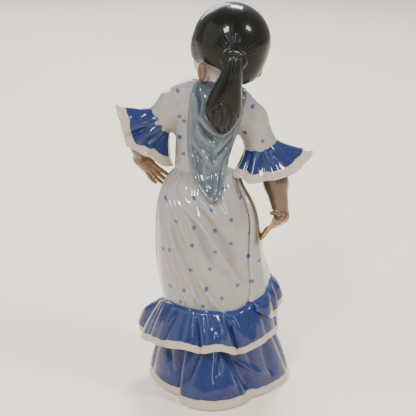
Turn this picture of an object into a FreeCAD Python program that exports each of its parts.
"""Glazed porcelain figurine of a dancer in a dotted dress with two gathered flounces.

The figurine is slip-cast in separate moulds, and the castings are luted together with slip before
firing. Each casting is one solid here. Nothing on it moves.

Frame: millimetres, +Z up, the origin at the middle of the flat foot. The dancer faces -Y, so her
left arm is on the +X side. Angles round the figure are measured from +X towards +Y.
"""
import FreeCAD
import Part
import os
from math import cos, degrees, exp, pi, radians, sin, sqrt

V = FreeCAD.Vector

# Driving dimensions.
HEM_NOTCH_RADIUS = 36.9   # lower flounce at the table, in the notch between two lobes
HEM_LOBE = 7.2            # how far a lobe of the hem stands out beyond a notch
WALL = 2.4                # usual thickness of a slip-cast wall
FLOUNCE_WALL = 1.8        # thickness of a gathered flounce
WAIST_Z = 136.0           # seam between the skirt and the bodice
SKIRT_BOTTOM_Z = 36.0     # lower edge of the skirt casting, under the flounces
SEAM_GAP = 0.1            # slip left between two luted surfaces
VENT_RADIUS = 4.0         # firing vent through the foot
FOOT_RADIUS = 34.0
FOOT_THICKNESS = 4.0
RING_POINTS = 72          # points on a section of a gathered piece
PLAIN_POINTS = 24         # points on a section of a plain piece

# Sections, from the top down: height, centre x, centre y, half width, half depth.
SKIRT = [
    (136.0, 10.6, 0.0, 14.8, 11.6),
    (131.0, 10.4, 1.2, 20.4, 16.6),
    (122.0, 9.7, 2.6, 25.0, 21.6),
    (110.0, 8.0, 2.8, 29.0, 25.4),
    (97.0, 7.2, 2.2, 30.4, 27.2),
    (83.0, 6.0, 1.6, 31.6, 28.6),
    (69.0, 4.2, 1.2, 32.0, 29.6),
    (54.0, 3.2, 0.8, 31.0, 29.8),
    (36.0, 1.6, 0.0, 28.6, 28.6),
]
BODICE = [
    (187.0, 12.6, -0.6, 8.4, 5.0),
    (184.4, 10.4, -0.6, 13.4, 7.8),
    (180.6, 6.4, -0.8, 18.0, 10.2),
    (172.0, 5.0, -1.0, 19.0, 12.4),
    (160.0, 7.0, -1.4, 18.2, 12.8),
    (148.0, 9.8, -0.6, 16.1, 11.8),
    (136.0, 11.1, 0.0, 15.3, 11.6),
]

# The head is modelled upright about the middle of the skull, then leaned and turned.
HEAD_CENTRE = V(-6.0, -4.0, 207.9)
HEAD_LEAN = -4.0          # degrees about Y: the crown leans over the right shoulder
HEAD_TURN = 34.0          # degrees about Z: the dancer looks over her left shoulder
SKULL_RADIUS = 20.0
HAIR_RADIUS = 22.1
NECK_PATH = [V(4.8, -1.4, 181.0), V(3.6, -1.8, 185.0), V(1.0, -2.6, 190.0), V(-2.0, -3.6, 197.0)]
NECK_RADII = [7.6, 7.2, 6.4, 6.6]
TAIL_ROOT = V(-7.0, 18.6, 202.4)
TAIL_PATH = [V(-6.8, 21.0, 202.6), V(-5.8, 23.6, 199.4), V(-4.4, 25.2, 190.0), V(-1.9, 25.0, 180.0),
             V(-1.0, 24.2, 173.6), V(-0.8, 23.0, 167.0), V(-0.6, 22.2, 161.8)]
TAIL_RADII = [4.6, 5.2, 6.8, 9.6, 9.4, 6.0, 2.0]

# Arm joints: shoulder, end of the sleeve, and the points that the forearm follows to the wrist.
LEFT_SHOULDER = V(16.0, -0.5, 176.6)
LEFT_SLEEVE_END = V(33.6, -1.6, 163.4)
LEFT_FOREARM = [V(33.6, -1.6, 163.4), V(41.0, -3.6, 156.4), V(45.6, -7.4, 147.6), V(45.6, -12.0, 137.0)]
LEFT_FINGERTIPS = V(30.0, -12.4, 125.4)
RIGHT_SHOULDER = V(-9.4, -0.5, 172.4)
RIGHT_SLEEVE_END = V(-23.2, -3.4, 149.0)
RIGHT_FOREARM = [V(-23.2, -3.4, 149.0), V(-29.2, -5.4, 137.0), V(-33.0, -6.8, 121.0), V(-36.4, -6.6, 103.0)]
RIGHT_FINGERTIPS = V(-26.2, 7.2, 93.4)


def smooth_at(stations, height):
    """Section values at a height, by a smooth curve through the stations, which run downwards."""
    last = len(stations) - 1
    i = 0
    while i < last - 1 and height < stations[i + 1][0]:
        i += 1
    low, high = stations[i + 1], stations[i]
    span = high[0] - low[0]
    u = min(1.0, max(0.0, (height - low[0]) / span))

    def slope(k, column):
        before, after = stations[max(k - 1, 0)], stations[min(k + 1, last)]
        return (before[column] - after[column]) / (before[0] - after[0])

    values = []
    for column in range(1, len(high)):
        start, end = low[column], high[column]
        m0, m1 = slope(i + 1, column) * span, slope(i, column) * span
        values.append(
            (2 * u**3 - 3 * u**2 + 1) * start + (u**3 - 2 * u**2 + u) * m0
            + (3 * u**2 - 2 * u**3) * end + (u**3 - u**2) * m1
        )
    return values


def bump(angle, middle, width):
    """A smooth rise of height 1 round the figure, centred at middle, in degrees."""
    away = (degrees(angle) - middle + 180.0) % 360.0 - 180.0
    return exp(-((away / width) ** 2))


def lobes(angle, notches):
    """0 at each notch angle and up to 1 between two notches, in rounded lobes."""
    turn = degrees(angle) % 360.0
    for start, end in zip(notches, notches[1:] + [notches[0] + 360.0]):
        place = (turn - start) % 360.0
        if place < (end - start) % 360.0:
            return sin(pi * place / (end - start)) ** 0.8
    return 0.0


def closed_wire(points):
    """One smooth closed curve through the points, as a wire."""
    curve = Part.BSplineCurve()
    curve.interpolate(Points=points, PeriodicFlag=True)
    return Part.Wire([curve.toShape()])


def loft_solid(wires):
    return Part.makeLoft(wires, True, False)


def ring_shell(outer, inner):
    """A thin closed ring: an outer and an inner skin through rows of points, with a rim at each end."""
    outer_wires = [closed_wire(row) for row in outer]
    inner_wires = [closed_wire(row) for row in inner]
    faces = Part.makeLoft(outer_wires, False, False).Faces
    faces += Part.makeLoft(inner_wires, False, False).Faces
    for end in (0, -1):
        faces += Part.makeRuledSurface(outer_wires[end].Edges[0], inner_wires[end].Edges[0]).Faces
    return closed_solid(faces)


def angles(count):
    return [2.0 * pi * k / count for k in range(count)]


def tuck(angle, height):
    """How far the skirt is drawn in on the right, beneath the front edge that the hand lifts."""
    window = min(1.0, max(0.0, (height - 64.0) / 18.0)) * min(1.0, max(0.0, (WAIST_Z - 2.0 - height) / 12.0))
    return 3.0 * bump(angle, 188.0, 38.0) * window


def skirt_pleats(angle, height):
    """Depth of the pleats that run down the skirt and drift round it."""
    drift = (WAIST_Z - height) * 0.011
    spread = min(1.0, (WAIST_Z - height) / 30.0)
    wave = cos(13.0 * (angle - drift)) + 0.6 * cos(8.0 * (angle - drift) + 1.1)
    return 0.55 * spread * wave


def skirt_point(angle, height, offset=0.0, pleated=True):
    cx, cy, a, b = smooth_at(SKIRT, height)
    out = offset - tuck(angle, height) + (skirt_pleats(angle, height) if pleated else 0.0)
    return V(cx + (a + out) * cos(angle), cy + (b + out) * sin(angle), height)


def body_section(stations, height, offset=0.0):
    cx, cy, a, b = smooth_at(stations, height)
    return closed_wire([
        V(cx + (a + offset) * cos(t), cy + (b + offset) * sin(t), height) for t in angles(PLAIN_POINTS)
    ])


def tube(path, radii):
    """A round bar along a path, with a flat end at each end of it."""
    wires = []
    for i, (point, radius) in enumerate(zip(path, radii)):
        along = path[min(i + 1, len(path) - 1)] - path[max(i - 1, 0)]
        wires.append(Part.Wire([Part.Circle(point, along, radius).toShape()]))
    return loft_solid(wires)


def spheroid(centre, axis, along, across):
    """A ball stretched along an axis: along must be more than across."""
    ellipse = Part.Ellipse(V(0, 0, along), V(across, 0, 0), V(0, 0, 0))
    arc = Part.ArcOfEllipse(ellipse, pi, 2.0 * pi).toShape()
    profile = Part.Face(Part.Wire([arc, Part.makeLine(V(0, 0, along), V(0, 0, -along))]))
    ball = profile.revolve(V(0, 0, 0), V(0, 0, 1), 360.0)
    if ball.Volume < 0:
        ball.reverse()
    ball.Placement = FreeCAD.Placement(centre, FreeCAD.Rotation(V(0, 0, 1), V(axis)))
    return ball


def closed_solid(faces):
    """Sew faces into one solid with its inside inside."""
    shell = Part.makeShell(faces)
    shell.sewShape()
    solid = Part.makeSolid(shell)
    if solid.Volume < 0:
        solid.reverse()
    return solid


def sheet_solid(outer, inner):
    """A curved sheet between two grids of points. Each row of points runs across the sheet."""
    wires, rims = [], []
    for over_row, under_row in zip(outer, inner):
        over, under = Part.BSplineCurve(), Part.BSplineCurve()
        over.interpolate(Points=over_row)
        under.interpolate(Points=under_row[::-1])
        wires.append(Part.Wire([
            over.toShape(), Part.makeLine(over_row[-1], under_row[-1]),
            under.toShape(), Part.makeLine(under_row[0], over_row[0]),
        ]))
        rims.append((over.toShape(), under.toShape()))
    faces = Part.makeLoft(wires, False, False).Faces
    for end in (0, -1):
        faces += Part.makeRuledSurface(*rims[end]).Faces
    return closed_solid(faces)


# ---- foot, petticoat and skirt ----

def base_plate():
    """Flat unglazed foot with the firing vent in its middle."""
    plate = Part.makeCylinder(FOOT_RADIUS, FOOT_THICKNESS)
    return plate.cut(Part.makeCylinder(VENT_RADIUS, FOOT_THICKNESS))


def petticoat():
    """Plain hollow cone that stands on the foot and carries the lower flounce and the skirt."""
    top = SKIRT_BOTTOM_Z - SEAM_GAP
    outer = Part.makeCone(FOOT_RADIUS, 28.0, top - FOOT_THICKNESS, V(0, 0, FOOT_THICKNESS))
    inner = Part.makeCone(FOOT_RADIUS - WALL, 28.0 - WALL, top - FOOT_THICKNESS, V(0, 0, FOOT_THICKNESS))
    return outer.cut(inner)


def skirt_filled(offset=0.0):
    heights = [SKIRT_BOTTOM_Z, 45.0, 57.0, 70.0, 83.0, 97.0, 110.0, 122.0, 130.0, WAIST_Z]
    return loft_solid([
        closed_wire([skirt_point(t, z, offset) for t in angles(RING_POINTS)]) for z in heights
    ])


def skirt_body():
    """Hollow pleated skirt, closed at the waist and open below."""
    heights = [SKIRT_BOTTOM_Z - 2.0, 54.0, 83.0, 110.0, 122.0, 130.0]
    hollow = loft_solid([body_section(SKIRT, z, -WALL - 1.0) for z in heights])
    return skirt_filled().cut(hollow)


def flounce(rows):
    """Gathered ring. rows holds, from the seam to the hem, functions of the angle that give a point."""
    outer = [[row(t, 0.0) for t in angles(RING_POINTS)] for row in rows]
    inner = [[row(t, FLOUNCE_WALL) for t in angles(RING_POINTS)] for row in rows]
    return ring_shell(outer, inner)


def flounce_point(angle, seam, drop, spread, wave, inward):
    """A point on a gathered strip that hangs from the skirt at a seam height."""
    cx, cy, a, b = smooth_at(SKIRT, seam)
    out = FLOUNCE_WALL + 1.4 + spread + wave - inward
    return V(cx + (a + out) * cos(angle), cy + (b + out) * sin(angle), seam - drop)


UPPER_FOLDS = [(0.0, -0.3, 0.0), (7.5, 2.0, 1.2), (15.0, 3.6, 2.4), (22.5, 5.0, 3.2)]   # drop, spread, wave
LIFTED_FOLDS = [(0.0, -0.3, 0.0), (6.0, 2.2, 0.8), (12.0, 4.2, 1.6), (17.5, 5.4, 2.2)]


def flounce_sheet(first, last, count, seam_at, folds):
    """A strip of flounce between two angles, in degrees, with a number of rounded folds."""
    steps = 8 * count
    outer, inner = [], []
    for drop, spread, wave in folds:
        rows = [], []
        for k in range(steps + 1):
            t = radians(first + (last - first) * k / steps)
            fold = wave * (0.4 - 0.5 * cos(2.0 * pi * k / 8.0))
            for row, inward in zip(rows, (0.0, FLOUNCE_WALL)):
                row.append(flounce_point(t, seam_at(t), drop + 0.4 * fold, spread, fold, inward))
        outer.append(rows[0])
        inner.append(rows[1])
    return sheet_solid(outer, inner)


def upper_flounce():
    """Back strip of the upper flounce, from the front left round the back to the right side."""
    return flounce_sheet(-34.0, 150.0, 7, lambda t: 57.8 - 5.0 * bump(t, -8.0, 28.0), UPPER_FOLDS)


def front_flounce():
    """Front strip of the upper flounce, which rises with the skirt towards the right hand."""
    return flounce_sheet(152.0, 324.0, 6, lambda t: 57.0 + 8.6 * bump(t, 186.0, 32.0), LIFTED_FOLDS)


HEM_NOTCHES = [48.0, 123.0, 219.0, 268.0, 317.0]
GATHER_NOTCHES = [0.0, 26.0, 48.0, 68.0, 94.0, 123.0, 150.0, 184.0, 219.0, 243.0, 268.0, 292.0, 317.0, 340.0]


def lower_flounce():
    """Full ring from under the upper flounce to the table. Its front rises with the skirt."""
    def row(share, gather):
        def point(t, inward):
            seam = 36.0 + 10.0 * bump(t, 250.0, 60.0)
            hem = 1.0 + 10.5 * bump(t, 268.0, 36.0)
            z = seam + (hem - seam) * share
            cx, cy, a, b = smooth_at(SKIRT, seam)
            wave = 1.6 * gather * (lobes(t, GATHER_NOTCHES) - 0.5) - inward
            reach = HEM_NOTCH_RADIUS + HEM_LOBE * lobes(t, HEM_NOTCHES)
            belly = 1.6 * sin(pi * share)
            top = FLOUNCE_WALL + 2.2 + belly
            x = (cx + (a + top) * cos(t)) * (1.0 - share) + (reach + belly) * cos(t) * share
            y = (cy + (b + top) * sin(t)) * (1.0 - share) + (reach + belly) * sin(t) * share
            return V(x + wave * cos(t), y + wave * sin(t), z)
        return point

    return flounce([row(0.0, 0.0), row(0.33, 0.8), row(0.66, 1.0), row(1.0, 0.0)])


def shoe(x, turn):
    """Toe of a shoe that stands on the table and shows under the raised front hem."""
    toe = spheroid(V(0, 0, 3.0), V(0, 1, 0), 13.0, 5.0)
    toe = toe.cut(Part.makeBox(40, 40, 20, V(-20, -20, -20 + 0.3)))
    toe.rotate(V(0, 0, 0), V(0, 0, 1), turn)
    toe.translate(V(x, -FOOT_RADIUS - 5.0, 0))
    return toe.cut(Part.makeCylinder(FOOT_RADIUS + SEAM_GAP, 20.0))


def skirt_fold():
    """Fold of the front skirt that the right hand pinches and draws out to the side."""
    rows = [(130.0, 176.0, 206.0, 0.6), (118.0, 164.0, 208.0, 1.2), (106.0, 154.0, 210.0, 1.6),
            (94.0, 145.0, 212.0, 1.8), (82.0, 140.0, 216.0, 1.6), (70.0, 136.0, 220.0, 1.2)]
    outer, inner = [], []
    for z, first, last, lift in rows:
        over, under = [], []
        for k in range(17):
            t = radians(first + (last - first) * k / 16.0)
            over.append(skirt_point(t, z, 1.2 + lift * sin(pi * k / 16.0), False))
            under.append(skirt_point(t, z, -1.0, False))
        outer.append(over)
        inner.append(under)
    return sheet_solid(outer, inner).cut(skirt_filled(SEAM_GAP))


# ---- torso, shawl and neck ----

def bodice_filled(offset=0.0):
    heights = [WAIST_Z, 142.0, 148.0, 154.0, 160.0, 166.0, 172.0, 177.0, 180.6, 183.4, 185.4, 187.0]
    return loft_solid([body_section(BODICE, z, offset) for z in heights])


def bodice(cutters):
    """Hollow torso, open at the waist seam."""
    hollow = loft_solid([body_section(BODICE, z, -WALL - 0.6) for z in (135.0, 148.0, 160.0, 172.0, 178.0)])
    shape = bodice_filled().cut(hollow)
    for cutter in cutters:
        shape = shape.cut(cutter)
    return shape


def back_depth(x, z, offset):
    """Depth of the dancer's back at a place. Below the waist the cloth hangs clear of the hollow."""
    if z < WAIST_Z - 8.0:
        stations = SKIRT
    elif z > WAIST_Z + 10.0:
        stations = BODICE
    else:
        share = (z - WAIST_Z + 8.0) / 18.0
        low, high = back_depth(x, WAIST_Z - 8.1, offset), back_depth(x, WAIST_Z + 10.1, offset)
        return low + (high - low) * share
    cx, cy, a, b = smooth_at(stations, z)
    side = max(-0.97, min(0.97, (x - cx) / (a + offset)))
    return cy + (b + offset) * sqrt(1.0 - side * side)


def shawl_back(cutters):
    """Shawl over the back, with its point hanging on the seat of the skirt."""
    rows = [(183.6, 15.0, -2.0), (180.0, 16.4, -9.6), (174.0, 17.2, -10.8), (166.0, 17.8, -10.4),
            (156.0, 18.0, -8.0), (146.0, 17.6, -4.8), (137.0, 15.8, -2.2), (130.0, 11.8, -0.8),
            (125.0, 7.6, 0.4), (122.8, 5.0, 1.8)]
    outer, inner = [], []
    for z, left, right in rows:
        xs = [left + (right - left) * k / 8.0 for k in range(9)]
        outer.append([V(x, back_depth(x, z, 1.0) + 1.6, z) for x in xs])
        inner.append([V(x, back_depth(x, z, 1.0), z) for x in xs])
    shape = sheet_solid(outer, inner)
    for cutter in cutters:
        shape = shape.cut(cutter)
    return shape


def shawl_front(side, cutters):
    """One lapel of the shawl, from the shoulder to the crossing above the waist."""
    rows = [(180.0, 13.0, 7.6), (172.0, 13.6, 6.4), (163.0, 12.4, 4.4), (154.0, 9.6, 2.2), (147.0, 6.4, 0.5)]
    outer, inner = [], []
    for z, far, near in rows:
        cx, cy = smooth_at(BODICE, z)[:2]
        xs = [cx + side * (near + (far - near) * k / 6.0) for k in range(7)]
        outer.append([V(x, 2.0 * cy - back_depth(x, z, 0.3) - 1.6, z) for x in xs])
        inner.append([V(x, 2.0 * cy - back_depth(x, z, 0.3), z) for x in xs])
    shape = sheet_solid(outer, inner)
    for cutter in cutters:
        shape = shape.cut(cutter)
    return shape


def shawl_knot():
    """Small knot where the two lapels cross."""
    return spheroid(V(8.9, -14.6, 144.0), V(0, 0.3, 1), 3.4, 2.4)


def neck():
    return tube(NECK_PATH, NECK_RADII)


# ---- head and hair ----

def place_head(shape):
    shape.rotate(V(0, 0, 0), V(0, 1, 0), HEAD_LEAN)
    shape.rotate(V(0, 0, 0), V(0, 0, 1), HEAD_TURN)
    shape.translate(HEAD_CENTRE)
    return shape


def upright_head():
    """Skull, face, nose, chin and ears, looking towards -Y."""
    shape = Part.makeSphere(SKULL_RADIUS)
    shape = shape.fuse(spheroid(V(0, -6.4, -9.0), V(0, -0.5, -1), 15.4, 13.8))
    shape = shape.fuse(spheroid(V(0, -14.4, -19.6), V(1, 0, 0), 4.6, 3.8))
    shape = shape.fuse(spheroid(V(0, -20.8, -10.2), V(0, -0.3, 1), 3.6, 2.1))
    for side in (-1, 1):
        shape = shape.fuse(spheroid(V(side * 17.8, 0.8, -15.0), V(0, 0.2, 1), 5.0, 2.6))
    return shape


def upright_hair():
    """Combed hair: a dome over the skull, cut off along the hairline from the forehead to the nape."""
    dome = Part.makeSphere(HAIR_RADIUS)
    dome = dome.fuse(spheroid(V(0, 8.6, -10.6), V(0, 0.5, -1), 13.4, 12.8))
    below = Part.makeBox(90, 90, 90, V(-45, -45, -90))
    below.rotate(V(0, 0, 0), V(1, 0, 0), -45.0)
    below.translate(V(0, 0, -8.4))
    return dome.cut(below)


def hair_tie():
    """Collar of wound hair round the root of the ponytail, in three turns."""
    axis = V(0.0, 0.9, 0.44)
    collar = Part.makeCylinder(6.0, 4.6, TAIL_ROOT, axis).cut(Part.makeCylinder(4.2, 4.6, TAIL_ROOT, axis))
    for k in range(3):
        collar = collar.fuse(Part.makeTorus(5.7 + 0.3 * k, 1.2, TAIL_ROOT + axis * (0.9 + 1.7 * k), axis))
    return collar


def ponytail():
    """Hanging tail of hair that swells towards a blunt end."""
    return tube(TAIL_PATH, TAIL_RADII)


# ---- arms ----

def sleeve(shoulder, end, root_radius, end_radius):
    """Upper sleeve with a rounded shoulder."""
    middle = (shoulder + end) * 0.5
    bar = tube([shoulder, middle, end], [root_radius, 0.5 * (root_radius + end_radius), end_radius])
    return bar.fuse(Part.makeSphere(root_radius, shoulder))


CUFF_NOTCHES = [10.0, 62.0, 108.0, 150.0, 200.0, 244.0, 292.0, 332.0]


def cuff(sleeve_end, direction, neck_radius, long_radius, short_radius, long_axis):
    """Gathered bell at the end of a sleeve."""
    axis = V(direction).normalize()
    wide = V(long_axis)
    wide = (wide - axis * wide.dot(axis)).normalize()
    deep = axis.cross(wide)

    def row(along, share):
        def point(t, inward):
            wave = lobes(t, CUFF_NOTCHES)
            a = neck_radius + (long_radius - neck_radius) * share + 1.8 * share * wave - inward
            b = neck_radius + (short_radius - neck_radius) * share + 1.8 * share * wave - inward
            return sleeve_end + axis * (along + 1.2 * share * wave) + wide * (a * cos(t)) + deep * (b * sin(t))
        return point

    return flounce([row(-1.5, 0.0), row(3.0, 0.3), row(8.5, 0.68), row(13.5, 1.0)])


def finger(path, root, tip):
    share = [k / (len(path) - 1.0) for k in range(len(path))]
    bar = tube(path, [root + (tip - root) * s for s in share])
    return bar.fuse(Part.makeSphere(1.12 * tip, path[-1]))


def hand(wrist, tips, across, thumb_tip, wrist_radius):
    """Flat palm with four fingers side by side and a thumb."""
    reach = tips - wrist
    along = V(reach).normalize()
    side = V(across)
    side = (side - along * side.dot(along)).normalize()
    knuckles = wrist + reach * 0.52
    palm_path = [wrist, wrist + reach * 0.26, knuckles]
    normal = along.cross(side)
    wires = []
    for point, wide, thick in zip(palm_path, (wrist_radius, 5.6, 5.8), (wrist_radius - 0.4, 2.8, 2.2)):
        wires.append(closed_wire([
            point + side * (wide * cos(t)) + normal * (thick * sin(t)) for t in angles(PLAIN_POINTS)
        ]))
    shape = loft_solid(wires)
    for k in range(4):
        spread = (k - 1.5) * 2.7
        root = knuckles + side * spread - along * 1.5
        end = tips + side * (spread * 0.72) - along * (0.8 * abs(k - 1.2))
        bend = (root + end) * 0.5 + normal * 0.9
        shape = shape.fuse(finger([root, bend, end], 1.45, 1.05))
    base = wrist + reach * 0.2 + side * 3.6
    return shape.fuse(finger([base, (base + thumb_tip) * 0.5 + side * 0.8, thumb_tip], 1.8, 1.2))


def build():
    left_sleeve = sleeve(LEFT_SHOULDER, LEFT_SLEEVE_END, 10.0, 8.4)
    right_sleeve = sleeve(RIGHT_SHOULDER, RIGHT_SLEEVE_END, 10.4, 9.0)
    torso = bodice_filled()
    skirt_block = skirt_filled(SEAM_GAP)
    face = upright_head()
    hair = place_head(upright_hair().cut(face))
    skull = place_head(face)
    nape = neck().cut(skull).cut(hair).cut(left_sleeve).cut(right_sleeve)
    tie = hair_tie().cut(hair).cut(skull)
    left_forearm = tube(LEFT_FOREARM, [6.2, 6.2, 5.2, 4.2]).cut(left_sleeve)
    right_forearm = tube(RIGHT_FOREARM, [6.4, 7.0, 6.4, 4.2]).cut(right_sleeve)
    left_hand = hand(LEFT_FOREARM[-1], LEFT_FINGERTIPS, V(0.5, 0.1, 1.0), V(34.4, -9.0, 138.6), 4.2)
    right_hand = hand(RIGHT_FOREARM[-1], RIGHT_FINGERTIPS, V(1.0, 0.6, 0.7), V(-29.6, -5.0, 104.0), 4.2)
    fold = skirt_fold()
    left_cuff = cuff(LEFT_SLEEVE_END, (0.71, -0.22, -0.67), 10.4, 22.0, 18.0, V(0.68, 0, 0.73))
    right_cuff = cuff(RIGHT_SLEEVE_END, (-0.26, -0.1, -0.96), 11.0, 20.6, 17.0, V(-0.96, 0, 0.26))
    around_shoulders = [left_sleeve, right_sleeve, nape, skull, hair, torso]
    return {
        "base_plate": base_plate(),
        "petticoat": petticoat(),
        "skirt_body": skirt_body(),
        "skirt_fold_right": fold,
        "lower_flounce": lower_flounce(),
        "upper_flounce_back": upper_flounce(),
        "upper_flounce_front": front_flounce(),
        "shoe_left": shoe(9.0, 10.0),
        "shoe_right": shoe(-7.0, -10.0),
        "bodice": bodice([left_sleeve, right_sleeve, neck()]),
        "shawl_back": shawl_back(around_shoulders),
        "shawl_front_left": shawl_front(1, around_shoulders),
        "shawl_front_right": shawl_front(-1, around_shoulders),
        "shawl_knot": shawl_knot().cut(torso),
        "neck": nape,
        "head": skull,
        "hair_cap": hair,
        "hair_tie": tie,
        "ponytail": ponytail().cut(hair).cut(tie),
        "sleeve_left": left_sleeve,
        "sleeve_right": right_sleeve,
        "cuff_left": left_cuff.cut(left_sleeve),
        "cuff_right": right_cuff.cut(right_sleeve).cut(skirt_block).cut(fold),
        "forearm_left": left_forearm,
        "forearm_right": right_forearm,
        "hand_left": left_hand.cut(skirt_block).cut(left_forearm),
        "hand_right": right_hand.cut(skirt_block).cut(right_forearm).cut(fold),
    }


def main():
    os.makedirs("parts", exist_ok=True)
    for name, shape in build().items():
        box = shape.BoundBox
        print(name, shape.ShapeType, len(shape.Solids), shape.isValid(), round(shape.Volume, 1),
              [round(v, 1) for v in (box.XMin, box.XMax, box.YMin, box.YMax, box.ZMin, box.ZMax)])
        shape.exportStep("parts/%s.step" % name)


main()
